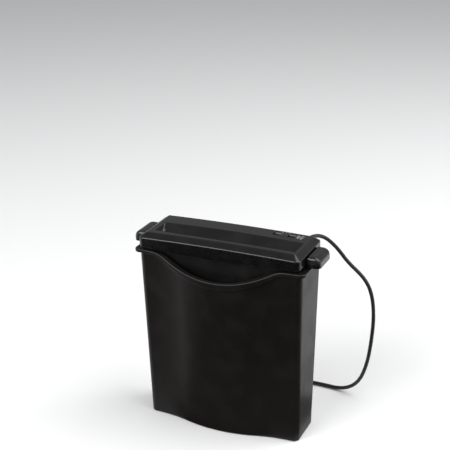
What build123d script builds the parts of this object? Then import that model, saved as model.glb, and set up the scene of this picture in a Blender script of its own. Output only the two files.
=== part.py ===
from build123d import *
import math
import os

# A strip-cut paper shredder: a motor-driven cutting head that sits on the rim of a slim waste bin.
# Millimetres, +Z up, X along the feed slot, the front faces -Y. The origin is on the floor, under
# the middle of the bin and head.

os.makedirs("parts", exist_ok=True)

# ---- Waste bin ----
BIN_HEIGHT = 285.0
BIN_WALL = 2.0
BIN_FLOOR = 2.5
BIN_BASE_HALF, BIN_RIM_HALF = 124.6, 130.2  # half widths at the floor and at the rim
BIN_BASE_FRONT, BIN_RIM_FRONT = -25.95, -36.55  # front wall at the corners
BIN_BASE_BACK, BIN_RIM_BACK = 43.15, 51.55
BIN_BULGE = 16.0  # how far the middle of the front wall stands forward
BIN_CORNER = 9.0
BIN_EDGE = 1.5  # bevel round the floor
LIP_SIDE, LIP_FRONT, LIP_DEPTH = 6.5, 5.0, 5.0  # the rolled lip, outwards and down
DIP_LOW, DIP_RADIUS, DIP_EASE = 256.5, 162.0, 35.0  # the dip in the middle of the front rim
DIP_LIP_LOW, DIP_LIP_RADIUS = 246.5, 144.5  # lower edge of the lip along the dip

# ---- Head: upper housing ----
HEAD_HALF = 128.8
HEAD_FRONT, HEAD_BACK = -40.75, 55.75
HEAD_LOW, HEAD_TOP_END, HEAD_CROWN = 289.6, 310.7, 312.6
HEAD_WALL = 2.5
BEVEL_IN, BEVEL_DOWN = 10.5, 6.9
HEAD_CORNER = 8.0
APRON_DROP = 3.8  # the front wall's lower edge hangs this much lower in the middle

# ---- Feed slot and throat ----
SLOT_X, SLOT_Y = 3.0, -1.75
SLOT_LENGTH, SLOT_WIDTH = 221.0, 5.2
FUNNEL_LENGTH, FUNNEL_FRONT, FUNNEL_BACK = 226.0, -27.75, 18.0
FUNNEL_LOW, THROAT_LOW = 301.5, 288.0
THROAT_WALL = 2.0

# ---- Head: lower housing ----
TUB_LOW, TUB_HIGH, TUB_WALL = 217.0, 289.6, 2.0
TUB_LOW_HALF, TUB_HIGH_HALF = 124.3, 126.0
TUB_LOW_FRONT, TUB_HIGH_FRONT = -30.0, -32.5
TUB_LOW_BACK, TUB_HIGH_BACK = 45.5, 48.0
FLANGE, FLANGE_GAP = 2.0, 0.2  # thickness, gap inside the upper housing
OUTLET_HALF, OUTLET_FRONT, OUTLET_BACK = 100.0, -20.0, 8.0

# ---- Cutting unit ----
SHAFT_Z = 268.0
SHAFT_SPACING = 20.0
FRONT_Y, REAR_Y = SLOT_Y - SHAFT_SPACING / 2, SLOT_Y + SHAFT_SPACING / 2
DISC_RADIUS, HUB_RADIUS, JOURNAL_RADIUS = 11.0, 6.5, 4.0
DISC_WIDTH, DISC_PITCH, DISC_COUNT = 5.4, 12.0, 18
FIRST_FRONT_DISC, FIRST_REAR_DISC = -101.5, -95.5
PLATE = 2.0
LEFT_PLATE, RIGHT_PLATE = -109.5, 114.5  # low-X face of each side plate
BUSH_RADIUS, BUSH_FLANGE = 6.0, 8.0
RUNNING_CLEARANCE = 0.05

# ---- Gears: module, teeth; layers along X ----
PRESSURE_ANGLE = math.radians(25)
CUTTER_MODULE, CUTTER_TEETH = 1.0, 20
DRIVE_MODULE, DRIVE_TEETH, IDLER_PINION_TEETH = 1.0, 40, 12
WHEEL_MODULE, WHEEL_TEETH, MOTOR_PINION_TEETH = 0.8, 48, 10
LAYER_1, LAYER_2, LAYER_3 = -113.6, -117.7, -121.8  # low-X face of each layer of gears
GEAR_WIDTH = 3.5
BACKLASH = 0.22

# ---- Motor ----
MOTOR_Y, MOTOR_Z = 27.0, 245.5
MOTOR_RADIUS, MOTOR_LENGTH, MOTOR_SHAFT = 16.5, 56.0, 1.6

# ---- Axis of the idler gear, from its distances to the rear cutter and the motor ----
IDLER_TO_REAR = DRIVE_MODULE * (DRIVE_TEETH + IDLER_PINION_TEETH) / 2
IDLER_TO_MOTOR = WHEEL_MODULE * (WHEEL_TEETH + MOTOR_PINION_TEETH) / 2
REAR_TO_MOTOR = math.hypot(MOTOR_Y - REAR_Y, MOTOR_Z - SHAFT_Z)
ALONG = (IDLER_TO_REAR**2 - IDLER_TO_MOTOR**2 + REAR_TO_MOTOR**2) / (2 * REAR_TO_MOTOR)
ACROSS = math.sqrt(IDLER_TO_REAR**2 - ALONG**2)
TO_MOTOR = ((MOTOR_Y - REAR_Y) / REAR_TO_MOTOR, (MOTOR_Z - SHAFT_Z) / REAR_TO_MOTOR)
IDLER_Y = REAR_Y + ALONG * TO_MOTOR[0] + ACROSS * TO_MOTOR[1]
IDLER_Z = SHAFT_Z + ALONG * TO_MOTOR[1] - ACROSS * TO_MOTOR[0]
IDLER_PIN = 2.0

# ---- Side grips ----
GRIP_OUT, GRIP_FRONT, GRIP_BACK = 150.0, -12.75, 36.0
GRIP_LOW, GRIP_HIGH, GRIP_WALL, GRIP_ROUND = 285.4, 302.0, 2.5, 10.5

# ---- Controls and electrics ----
SWITCH_X, SWITCH_Y = 78.0, 33.0
SWITCH_TRAVEL = 5.0
LEVER_X, LEVER_Y, LEVER_Z = 3.0, 10.5, 286.5
INTERLOCK_X, INTERLOCK_Y = -60.0, 50.6
BOARD = (7.0, 33.0, 284.0)  # centre of the circuit board's underside
BOARD_SIZE = (90.0, 22.0, 1.6)
POSTS = [(-118.5, -26.0), (-118.5, 39.0), (57.5, 40.5), (109.5, 38.5)]

# ---- Power cord ----
CORD = 6.0
CORD_X, CORD_Z = 100.0, 292.0
BOOT_Z, BOOT_LENGTH = 297.5, 20.0
COIL_X, COIL_Y = 20.0, 109.0
COIL_INNER, COIL_OUTER, COIL_HEIGHT = 25.0, 43.5, 12.4


def save(builder, label):
    """Labels a finished piece and writes it to a STEP file of its own."""
    builder.part.label = label
    export_step(builder.part, f"parts/{label}.step")


# =====================================================================================
# Waste bin
# =====================================================================================
def bin_plan(z, side=0.0, ends=0.0):
    """Plan of the bin's wall at height z, moved out by side in X and by ends in Y."""
    t = z / BIN_HEIGHT
    half = BIN_BASE_HALF + (BIN_RIM_HALF - BIN_BASE_HALF) * t + side
    front = BIN_BASE_FRONT + (BIN_RIM_FRONT - BIN_BASE_FRONT) * t - ends
    back = BIN_BASE_BACK + (BIN_RIM_BACK - BIN_BASE_BACK) * t + ends
    flat = half - BIN_CORNER
    with BuildSketch(Plane.XY.offset(z)) as plan:
        with BuildLine():
            # front wall: a forward bulge that flows into the corners, three tangent arcs
            left = TangentArc((-flat, front), (-flat / 2, front - BIN_BULGE / 2), tangent=(1, 0))
            middle = TangentArc(left @ 1, (flat / 2, front - BIN_BULGE / 2), tangent=left % 1)
            right = TangentArc(middle @ 1, (flat, front), tangent=middle % 1)
            TangentArc(right @ 1, (half, front + BIN_CORNER), tangent=(1, 0))
            Line((half, front + BIN_CORNER), (half, back - BIN_CORNER))
            TangentArc((half, back - BIN_CORNER), (flat, back), tangent=(0, 1))
            Line((flat, back), (-flat, back))
            TangentArc((-flat, back), (-half, back - BIN_CORNER), tangent=(-1, 0))
            Line((-half, back - BIN_CORNER), (-half, front + BIN_CORNER))
            TangentArc((-half, front + BIN_CORNER), (-flat, front), tangent=(0, -1))
        make_face()
    return plan.sketch


def under_rim(rim, low, radius):
    """Front view of everything under a rim line at height rim that dips to low in the middle."""
    with BuildSketch(Plane.XZ) as under:
        with Locations((0, rim / 2)):
            Rectangle(4 * HEAD_HALF, rim)
        with Locations((0, low + radius)):
            Circle(radius, mode=Mode.SUBTRACT)
        corners = under.vertices().filter_by(lambda v: v.Y > rim - 0.01 and abs(v.X) < HEAD_HALF)
        fillet(corners, DIP_EASE)
    return under.sketch


with BuildSketch(Plane.XZ) as above_rim:
    with Locations((0, BIN_HEIGHT)):
        Rectangle(4 * HEAD_HALF, BIN_HEIGHT)
    add(under_rim(BIN_HEIGHT, DIP_LOW, DIP_RADIUS), mode=Mode.SUBTRACT)

with BuildSketch(Plane.XZ) as lip_ribbon:
    add(under_rim(BIN_HEIGHT, DIP_LOW, DIP_RADIUS))
    add(under_rim(BIN_HEIGHT - LIP_DEPTH, DIP_LIP_LOW, DIP_LIP_RADIUS), mode=Mode.SUBTRACT)

# the lip follows the dip along the front and runs level round the ends and the back
with BuildPart() as lip_band:
    extrude(lip_ribbon.sketch, amount=2 * HEAD_BACK)
    with Locations((0, HEAD_BACK, BIN_HEIGHT - LIP_DEPTH / 2)):
        Box(4 * HEAD_HALF, 2 * HEAD_BACK, LIP_DEPTH)

with BuildPart() as rim_lip:
    loft(sections=[bin_plan(DIP_LIP_LOW - 5, LIP_SIDE, LIP_FRONT), bin_plan(BIN_HEIGHT, LIP_SIDE, LIP_FRONT)])
    add(lip_band.part, mode=Mode.INTERSECT)

with BuildPart() as waste_bin:
    loft(sections=[bin_plan(0, -BIN_EDGE, -BIN_EDGE), bin_plan(BIN_EDGE)])
    loft(sections=[bin_plan(BIN_EDGE), bin_plan(BIN_HEIGHT)])
    extrude(above_rim.sketch, amount=2 * HEAD_BACK, mode=Mode.SUBTRACT)
    add(rim_lip.part)
    inside = [bin_plan(z, -BIN_WALL, -BIN_WALL) for z in (BIN_FLOOR, BIN_HEIGHT + 5)]
    loft(sections=inside, mode=Mode.SUBTRACT)
save(waste_bin, "waste_bin")


# =====================================================================================
# Upper housing
# =====================================================================================
def crowned_block(inset, low):
    """The upper housing's outer form, moved in by inset: crowned top, broad bevel, round corners."""
    half = HEAD_HALF - inset
    ends = HEAD_TOP_END - inset
    with BuildPart() as block:
        with BuildSketch(Plane.XZ.offset(-(HEAD_BACK - inset))):
            with BuildLine():
                Polyline((-half, ends), (-half, low), (half, low), (half, ends))
                ThreePointArc((half, ends), (0, HEAD_CROWN - inset), (-half, ends))
            make_face()
        extrude(amount=HEAD_BACK - HEAD_FRONT - 2 * inset)
        crown = block.faces().sort_by(Axis.Z)[-1]
        chamfer(crown.edges(), length=BEVEL_IN, length2=BEVEL_DOWN, reference=crown)
        fillet(block.edges().filter_by(Axis.Z), HEAD_CORNER - inset)
    return block.part


FUNNEL_MIDDLE = (FUNNEL_FRONT + FUNNEL_BACK) / 2
FUNNEL_DEPTH = FUNNEL_BACK - FUNNEL_FRONT


def funnel_levels(grow):
    """Plans of the feed funnel from its mouth to the slot, grown by the wall's thickness."""
    levels = []
    for z, y, length, depth in (
        (HEAD_CROWN + 2, FUNNEL_MIDDLE, FUNNEL_LENGTH, FUNNEL_DEPTH),
        (FUNNEL_LOW - 0.6 * grow, SLOT_Y, SLOT_LENGTH, SLOT_WIDTH),
    ):
        with BuildSketch(Plane.XY.offset(z)) as level:
            with Locations((SLOT_X, y)):
                Rectangle(length + 2 * grow, depth + 2 * grow)
        levels.append(level.sketch)
    return levels


with BuildPart() as upper_housing:
    add(crowned_block(0, HEAD_LOW))
    add(crowned_block(HEAD_WALL, HEAD_LOW - 5), mode=Mode.SUBTRACT)
    # feed funnel and the throat under it, kept inside the shell's own outline
    loft(sections=funnel_levels(THROAT_WALL))
    with Locations((SLOT_X, SLOT_Y, (THROAT_LOW + FUNNEL_LOW) / 2)):
        Box(SLOT_LENGTH + 2 * THROAT_WALL, SLOT_WIDTH + 2 * THROAT_WALL, FUNNEL_LOW - THROAT_LOW)
    # thick floor under the switch's recess
    with Locations((SWITCH_X, SWITCH_Y, 308.0)):
        Box(40, 16, 3.4)
    # screw posts down to the lower housing, and four more that carry the circuit board
    with Locations(*[(x, y, HEAD_LOW + FLANGE) for x, y in POSTS]):
        Cylinder(3.5, 20.0, align=(Align.CENTER, Align.CENTER, Align.MIN))
    with Locations((BOARD[0], BOARD[1], BOARD[2] + BOARD_SIZE[2])):
        with GridLocations(BOARD_SIZE[0] - 10, BOARD_SIZE[1] - 8, 2, 2):
            Cylinder(2.5, 26.0, align=(Align.CENTER, Align.CENTER, Align.MIN))
    # ears that carry the paper lever's axle
    with Locations((LEVER_X, SLOT_Y + SLOT_WIDTH / 2 + THROAT_WALL + 5.5, 292.0)):
        Box(16, 12, 4)
    with Locations((LEVER_X - 6.75, LEVER_Y, 288.0), (LEVER_X + 6.75, LEVER_Y, 288.0)):
        Box(2.5, 5, 8)
    # nothing may stand above the crowned top
    add(crowned_block(0, HEAD_LOW - 60), mode=Mode.INTERSECT)
    loft(sections=funnel_levels(0), mode=Mode.SUBTRACT)
    with Locations((SLOT_X, SLOT_Y, HEAD_LOW)):
        Box(SLOT_LENGTH, SLOT_WIDTH, 30, mode=Mode.SUBTRACT)
    # recess and slot for the switch
    with Locations((SWITCH_X, SWITCH_Y, 311.2)):
        Box(34, 11, 4.0, mode=Mode.SUBTRACT)
    with Locations((SWITCH_X, SWITCH_Y, 308.0)):
        Box(16, 4, 6, mode=Mode.SUBTRACT)
    # axle holes, screw holes
    with BuildSketch(Plane.YZ.offset(LEVER_X - 10)):
        with Locations((LEVER_Y, LEVER_Z)):
            Circle(1.5 + RUNNING_CLEARANCE)
    extrude(amount=20, mode=Mode.SUBTRACT)
    with Locations(*[(x, y, HEAD_LOW + FLANGE) for x, y in POSTS]):
        Cylinder(1.5, 11.0, align=(Align.CENTER, Align.CENTER, Align.MIN), mode=Mode.SUBTRACT)
    with Locations((BOARD[0], BOARD[1], BOARD[2] + BOARD_SIZE[2])):
        with GridLocations(BOARD_SIZE[0] - 10, BOARD_SIZE[1] - 8, 2, 2):
            Cylinder(1.1, 9.0, align=(Align.CENTER, Align.CENTER, Align.MIN), mode=Mode.SUBTRACT)
    # hole for the cord's strain relief, through the back wall
    with BuildSketch(Plane.XZ.offset(-HEAD_BACK - 1)):
        with Locations((CORD_X, BOOT_Z)):
            Circle(4.4)
    extrude(amount=6, mode=Mode.SUBTRACT)
    # holes for the grips' screws, two in each end wall
    for side in (-1, 1):
        with BuildSketch(Plane.YZ.offset(side * HEAD_HALF - 5)):
            with Locations((3, 296.5), (16, 296.5)):
                Circle(1.7)
        extrude(amount=10, mode=Mode.SUBTRACT)
    # the front wall's lower edge hangs in a shallow arc
    with BuildSketch(Plane.XZ.offset(-HEAD_FRONT - HEAD_WALL)):
        with BuildLine():
            drop_half = HEAD_HALF - HEAD_CORNER - 1
            ThreePointArc((-drop_half, HEAD_LOW), (0, HEAD_LOW - APRON_DROP), (drop_half, HEAD_LOW))
            Line((drop_half, HEAD_LOW), (-drop_half, HEAD_LOW))
        make_face()
    extrude(amount=HEAD_WALL)
save(upper_housing, "upper_housing")


# =====================================================================================
# Lower housing: a tub that drops into the bin, with a flange that closes the upper housing
# =====================================================================================
def tub_plan(z, inset=0.0):
    """Plan of the tub at height z, moved in by inset."""
    t = (z - TUB_LOW) / (TUB_HIGH - TUB_LOW)
    half = TUB_LOW_HALF + (TUB_HIGH_HALF - TUB_LOW_HALF) * t - inset
    front = TUB_LOW_FRONT + (TUB_HIGH_FRONT - TUB_LOW_FRONT) * t + inset
    back = TUB_LOW_BACK + (TUB_HIGH_BACK - TUB_LOW_BACK) * t - inset
    with BuildSketch(Plane.XY.offset(z)) as plan:
        with Locations((0, (front + back) / 2)):
            RectangleRounded(2 * half, back - front, 6.0 - inset)
    return plan.sketch


FOOT_X = (LEFT_PLATE + PLATE + 5, RIGHT_PLATE - 5)
FOOT_Y = (-24.5, 12.0)
PILLAR_HIGH = 226.0

with BuildPart() as lower_housing:
    loft(sections=[tub_plan(TUB_LOW), tub_plan(TUB_HIGH)])
    with BuildSketch(Plane.XY.offset(TUB_HIGH)):
        with Locations((0, (HEAD_FRONT + HEAD_BACK) / 2)):
            RectangleRounded(
                2 * (HEAD_HALF - HEAD_WALL - FLANGE_GAP),
                HEAD_BACK - HEAD_FRONT - 2 * (HEAD_WALL + FLANGE_GAP),
                HEAD_CORNER - HEAD_WALL - FLANGE_GAP,
            )
    extrude(amount=FLANGE)
    inside = [tub_plan(TUB_LOW + TUB_WALL, TUB_WALL), tub_plan(TUB_HIGH + 5, TUB_WALL)]
    loft(sections=inside, mode=Mode.SUBTRACT)
    # pillars for the side plates, and tubes for the housing screws
    with Locations(*[(x, y, TUB_LOW) for x in FOOT_X for y in FOOT_Y]):
        Cylinder(4.0, PILLAR_HIGH - TUB_LOW, align=(Align.CENTER, Align.CENTER, Align.MIN))
    with Locations(*[(x, y, TUB_LOW) for x, y in POSTS]):
        Cylinder(4.5, HEAD_LOW + FLANGE - TUB_LOW, align=(Align.CENTER, Align.CENTER, Align.MIN))
    with Locations(*[(x, y, TUB_LOW) for x, y in POSTS]):
        Cylinder(3.4, 70.0, align=(Align.CENTER, Align.CENTER, Align.MIN), mode=Mode.SUBTRACT)
        Cylinder(1.7, 90.0, align=(Align.CENTER, Align.CENTER, Align.MIN), mode=Mode.SUBTRACT)
    with Locations(*[(x, y, TUB_LOW) for x in FOOT_X for y in FOOT_Y]):
        Cylinder(1.6, 12.0, align=(Align.CENTER, Align.CENTER, Align.MIN), mode=Mode.SUBTRACT)
    # outlet for the cut strips
    with Locations((SLOT_X, (OUTLET_FRONT + OUTLET_BACK) / 2, TUB_LOW)):
        Box(2 * OUTLET_HALF, OUTLET_BACK - OUTLET_FRONT, 12, mode=Mode.SUBTRACT)
    # hole for the interlock's plunger
    with Locations((INTERLOCK_X, INTERLOCK_Y, TUB_HIGH)):
        Cylinder(1.6, 10, mode=Mode.SUBTRACT)
save(lower_housing, "lower_housing")

# =====================================================================================
# Side grips: hollow caps screwed to the ends of the upper housing, a rib rests on the bin's lip
# =====================================================================================
for side, label in ((-1, "left_grip"), (1, "right_grip")):
    middle_x = side * (HEAD_HALF + GRIP_OUT) / 2
    middle_y = (GRIP_FRONT + GRIP_BACK) / 2
    width, depth, height = GRIP_OUT - HEAD_HALF, GRIP_BACK - GRIP_FRONT, GRIP_HIGH - GRIP_LOW
    with BuildPart() as grip:
        with Locations((middle_x, middle_y, GRIP_LOW)):
            Box(width, depth, height, align=(Align.CENTER, Align.CENTER, Align.MIN))
        outer = grip.faces().sort_by(Axis.X)[0 if side < 0 else -1]
        fillet(outer.edges().sort_by(Axis.Z)[-1], GRIP_ROUND)
        fillet(grip.edges().filter_by(GeomType.LINE).group_by(lambda e: round(side * e.center().X))[-1]
               .filter_by(Axis.Z), 5.0)
        with Locations((middle_x, middle_y, GRIP_LOW)):
            Box(width - 2 * GRIP_WALL, depth - 2 * GRIP_WALL, height - GRIP_WALL - 4,
                align=(Align.CENTER, Align.CENTER, Align.MIN), mode=Mode.SUBTRACT)
        with Locations((side * (HEAD_HALF + 4.0), middle_y, BIN_HEIGHT)):
            Box(6.0, 34.0, 13.0, align=(Align.CENTER, Align.CENTER, Align.MIN))
        with BuildSketch(Plane.YZ.offset(side * (HEAD_HALF + 3.5) - 3.6)):
            with Locations((3, 296.5), (16, 296.5)):
                Circle(1.3)
        extrude(amount=7.2, mode=Mode.SUBTRACT)
    save(grip, label)

# =====================================================================================
# Cutting unit
# =====================================================================================
def side_plate(x, holes):
    """A steel plate across the head that carries the shafts; holes are (y, z, radius)."""
    inward = 1 if x < 0 else -1
    with BuildPart() as plate:
        with BuildSketch(Plane.YZ.offset(x)) as outline:
            with BuildLine():
                Polyline((-27.5, PILLAR_HIGH), (-27.5, 280), (-22, 287), (34, 287),
                         (43, 270), (43, 240), (30, PILLAR_HIGH), close=True)
            make_face()
            fillet(outline.vertices(), 2.0)
            for y, z, radius in holes:
                with Locations((y, z)):
                    Circle(radius, mode=Mode.SUBTRACT)
        extrude(amount=PLATE)
        # two feet bent inwards, screwed to the lower housing
        for foot_y in FOOT_Y:
            with Locations((x + PLATE / 2 + inward * 5.5, foot_y, PILLAR_HIGH + PLATE / 2)):
                Box(9 + PLATE, 6, PLATE)
        with Locations(*[(x + PLATE / 2 + inward * 6, y, PILLAR_HIGH) for y in FOOT_Y]):
            Cylinder(1.6, 8, mode=Mode.SUBTRACT)
    return plate


SHAFT_HOLES = [(FRONT_Y, SHAFT_Z, BUSH_RADIUS), (REAR_Y, SHAFT_Z, BUSH_RADIUS)]
MOTOR_SCREW_Y = (MOTOR_Y - 10.0, MOTOR_Y + 10.0)
MOTOR_HOLES = [(MOTOR_Y, MOTOR_Z, 5.0), (IDLER_Y, IDLER_Z, IDLER_PIN)]
MOTOR_HOLES += [(y, MOTOR_Z, 1.6) for y in MOTOR_SCREW_Y]
TIE_RODS = [(-22.0, 240.0), (-16.0, 282.5), (30.0, 281.0)]
TIE_HOLES = [(y, z, 1.6) for y, z in TIE_RODS]

left_side_plate = side_plate(LEFT_PLATE, SHAFT_HOLES + MOTOR_HOLES + TIE_HOLES)
save(left_side_plate, "left_side_plate")
right_side_plate = side_plate(RIGHT_PLATE, SHAFT_HOLES + TIE_HOLES)
save(right_side_plate, "right_side_plate")

CHASSIS_LOW, CHASSIS_HIGH = LEFT_PLATE + PLATE, RIGHT_PLATE
with BuildPart() as tie_rods:
    with BuildSketch(Plane.YZ.offset(CHASSIS_LOW)):
        with Locations(*TIE_RODS):
            Circle(2.5)
    extrude(amount=CHASSIS_HIGH - CHASSIS_LOW)
    with BuildSketch(Plane.YZ.offset(LEFT_PLATE)):
        with Locations(*TIE_RODS):
            Circle(1.6)
    extrude(amount=CHASSIS_HIGH + PLATE - LEFT_PLATE)
save(tie_rods, "tie_rods")

# flanged bushes, two in each plate
with BuildPart() as shaft_bushes:
    for x, flange_x in ((LEFT_PLATE, CHASSIS_LOW), (RIGHT_PLATE, RIGHT_PLATE - 1.0)):
        with BuildSketch(Plane.YZ.offset(x)):
            with Locations((FRONT_Y, SHAFT_Z), (REAR_Y, SHAFT_Z)):
                Circle(BUSH_RADIUS)
        extrude(amount=PLATE)
        with BuildSketch(Plane.YZ.offset(flange_x)):
            with Locations((FRONT_Y, SHAFT_Z), (REAR_Y, SHAFT_Z)):
                Circle(BUSH_FLANGE)
        extrude(amount=1.0)
    with BuildSketch(Plane.YZ.offset(LEFT_PLATE - 5)):
        with Locations((FRONT_Y, SHAFT_Z), (REAR_Y, SHAFT_Z)):
            Circle(JOURNAL_RADIUS + RUNNING_CLEARANCE)
    extrude(amount=RIGHT_PLATE - LEFT_PLATE + 20, mode=Mode.SUBTRACT)
save(shaft_bushes, "shaft_bushes")


def cutter(y, first_disc, journal_low):
    """A cutting roller turned from one bar: discs with feed notches, and a journal at each end."""
    with BuildPart() as roller:
        with BuildSketch(Plane.YZ.offset(CHASSIS_LOW + 1.5)):
            with Locations((y, SHAFT_Z)):
                Circle(HUB_RADIUS)
        extrude(amount=CHASSIS_HIGH - CHASSIS_LOW - 3.0)
        with BuildSketch(Plane.YZ.offset(journal_low)):
            with Locations((y, SHAFT_Z)):
                Circle(JOURNAL_RADIUS)
        extrude(amount=CHASSIS_HIGH + PLATE + 2.0 - journal_low)
        for i in range(DISC_COUNT):
            with BuildSketch(Plane.YZ.offset(first_disc + i * DISC_PITCH - DISC_WIDTH / 2)):
                with Locations((y, SHAFT_Z)):
                    Circle(DISC_RADIUS)
                    with PolarLocations(DISC_RADIUS, 9, start_angle=(i * 13) % 40):
                        Rectangle(1.8, 1.8, rotation=45, mode=Mode.SUBTRACT)
            extrude(amount=DISC_WIDTH)
    return roller


front_cutter = cutter(FRONT_Y, FIRST_FRONT_DISC, LAYER_1)
save(front_cutter, "front_cutter")
rear_cutter = cutter(REAR_Y, FIRST_REAR_DISC, LAYER_2)
save(rear_cutter, "rear_cutter")

# combs: a bar with a finger in each gap between discs, which strips the cut paper off the rollers
COMB_LOW, COMB_HIGH = 262.0, 279.0
FINGER = 4.8


def comb(shaft_y, outward, first_disc):
    """A stripper comb beside the roller at shaft_y; outward is -1 to the front, 1 to the back."""
    with BuildPart() as strip:
        bar_y = shaft_y + outward * 14.35
        with Locations(((CHASSIS_LOW + CHASSIS_HIGH) / 2, bar_y, (COMB_LOW + COMB_HIGH) / 2)):
            Box(CHASSIS_HIGH - CHASSIS_LOW - 0.4, 3.8, COMB_HIGH - COMB_LOW)
        gaps = [first_disc + DISC_PITCH * (i + 0.5) for i in range(-1, DISC_COUNT)]
        gaps = [x for x in gaps if CHASSIS_LOW + 3.6 < x < CHASSIS_HIGH - 3.6]
        finger_y = shaft_y + outward * 7.6
        with Locations(*[(x, finger_y, (COMB_LOW + COMB_HIGH) / 2) for x in gaps]):
            Box(FINGER, 12.0, COMB_HIGH - COMB_LOW)
        with BuildSketch(Plane.YZ.offset(CHASSIS_LOW)):
            with Locations((shaft_y, SHAFT_Z)):
                Circle(HUB_RADIUS + 0.6)
        extrude(amount=CHASSIS_HIGH - CHASSIS_LOW, mode=Mode.SUBTRACT)
    return strip


front_comb = comb(FRONT_Y, -1, FIRST_FRONT_DISC)
save(front_comb, "front_comb")
rear_comb = comb(REAR_Y, 1, FIRST_REAR_DISC)
save(rear_comb, "rear_comb")


# =====================================================================================
# Gears
# =====================================================================================
def gear_points(module, teeth, tooth_at):
    """Outline of a stub-tooth involute gear with a tooth centred on the angle tooth_at."""
    pitch = module * teeth / 2
    base = pitch * math.cos(PRESSURE_ANGLE)
    tip, root = pitch + 0.8 * module, pitch - 1.05 * module
    start = max(base, root + 0.05 * module)
    involute_at_pitch = math.tan(PRESSURE_ANGLE) - PRESSURE_ANGLE
    half_tooth = math.pi / (2 * teeth) - BACKLASH / (4 * pitch)
    flank = []
    for step in range(5):
        radius = start + (tip - start) * step / 4
        roll = math.acos(min(1.0, base / radius))
        flank.append((radius, half_tooth + involute_at_pitch - (math.tan(roll) - roll)))
    flank.insert(0, (root, flank[0][1] + 0.04 / pitch))
    points = []
    for tooth in range(teeth):
        middle = tooth_at + 2 * math.pi * tooth / teeth
        rise = [(r, middle - a) for r, a in flank]
        fall = [(r, middle + a) for r, a in reversed(flank)]
        points += [(r * math.cos(a), r * math.sin(a)) for r, a in rise + fall]
    return points


def spur(x, y, z, module, teeth, tooth_at, bore, width=GEAR_WIDTH):
    """A spur gear about an axis along X, its low-X face at x."""
    with BuildPart() as gear:
        with BuildSketch(Plane.YZ.offset(x)):
            with BuildLine():
                Polyline(*[(y + a, z + b) for a, b in gear_points(module, teeth, tooth_at)], close=True)
            make_face()
            if bore:
                with Locations((y, z)):
                    Circle(bore, mode=Mode.SUBTRACT)
        extrude(amount=width)
    return gear


TOWARDS_REAR = math.atan2(SHAFT_Z - IDLER_Z, REAR_Y - IDLER_Y)
TOWARDS_MOTOR = math.atan2(MOTOR_Z - IDLER_Z, MOTOR_Y - IDLER_Y)

front_cutter_gear = spur(
    LAYER_1, FRONT_Y, SHAFT_Z, CUTTER_MODULE, CUTTER_TEETH, 0.0, JOURNAL_RADIUS
)
save(front_cutter_gear, "front_cutter_gear")
rear_cutter_gear = spur(
    LAYER_1, REAR_Y, SHAFT_Z, CUTTER_MODULE, CUTTER_TEETH, math.pi + math.pi / CUTTER_TEETH, JOURNAL_RADIUS
)
save(rear_cutter_gear, "rear_cutter_gear")
drive_gear = spur(
    LAYER_2, REAR_Y, SHAFT_Z, DRIVE_MODULE, DRIVE_TEETH,
    TOWARDS_REAR + math.pi + math.pi / DRIVE_TEETH, JOURNAL_RADIUS,
)
save(drive_gear, "drive_gear")

idler_wheel = spur(LAYER_3, IDLER_Y, IDLER_Z, WHEEL_MODULE, WHEEL_TEETH, TOWARDS_MOTOR, None)
idler_pinion = spur(
    LAYER_3 + GEAR_WIDTH, IDLER_Y, IDLER_Z, DRIVE_MODULE, IDLER_PINION_TEETH, TOWARDS_REAR, None,
    width=LAYER_2 + GEAR_WIDTH - LAYER_3 - GEAR_WIDTH,
)
with BuildPart() as idler_gear:
    add(idler_wheel.part)
    add(idler_pinion.part)
    with BuildSketch(Plane.YZ.offset(LAYER_3 - 1)):
        with Locations((IDLER_Y, IDLER_Z)):
            Circle(IDLER_PIN + RUNNING_CLEARANCE)
    extrude(amount=20, mode=Mode.SUBTRACT)
save(idler_gear, "idler_gear")

with BuildPart() as idler_pin:
    with BuildSketch(Plane.YZ.offset(LAYER_3 - 0.4)):
        with Locations((IDLER_Y, IDLER_Z)):
            Circle(IDLER_PIN)
    extrude(amount=CHASSIS_LOW - LAYER_3 + 0.4)
    with BuildSketch(Plane.YZ.offset(LAYER_1)):
        with Locations((IDLER_Y, IDLER_Z)):
            Circle(3.5)
    extrude(amount=LEFT_PLATE - LAYER_1)
save(idler_pin, "idler_pin")

# =====================================================================================
# Motor, bolted to the inner face of the left plate
# =====================================================================================
CAN_LOW = CHASSIS_LOW
CAN_HIGH = CAN_LOW + MOTOR_LENGTH
with BuildPart() as motor_can:
    with BuildSketch(Plane.YZ.offset(CAN_LOW)):
        with Locations((MOTOR_Y, MOTOR_Z)):
            Circle(MOTOR_RADIUS)
    extrude(amount=MOTOR_LENGTH)
    with BuildSketch(Plane.YZ.offset(CAN_LOW + 1.5)):
        with Locations((MOTOR_Y, MOTOR_Z)):
            Circle(MOTOR_RADIUS - 1.2)
    extrude(amount=MOTOR_LENGTH, mode=Mode.SUBTRACT)
    with BuildSketch(Plane.YZ.offset(LEFT_PLATE)):
        with Locations((MOTOR_Y, MOTOR_Z)):
            Circle(5.0)
    extrude(amount=PLATE)
    with BuildSketch(Plane.YZ.offset(LEFT_PLATE - 1)):
        with Locations((MOTOR_Y, MOTOR_Z)):
            Circle(MOTOR_SHAFT + RUNNING_CLEARANCE)
        with Locations(*[(y, MOTOR_Z) for y in MOTOR_SCREW_Y]):
            Circle(1.4)
    extrude(amount=8, mode=Mode.SUBTRACT)
save(motor_can, "motor_can")

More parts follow.
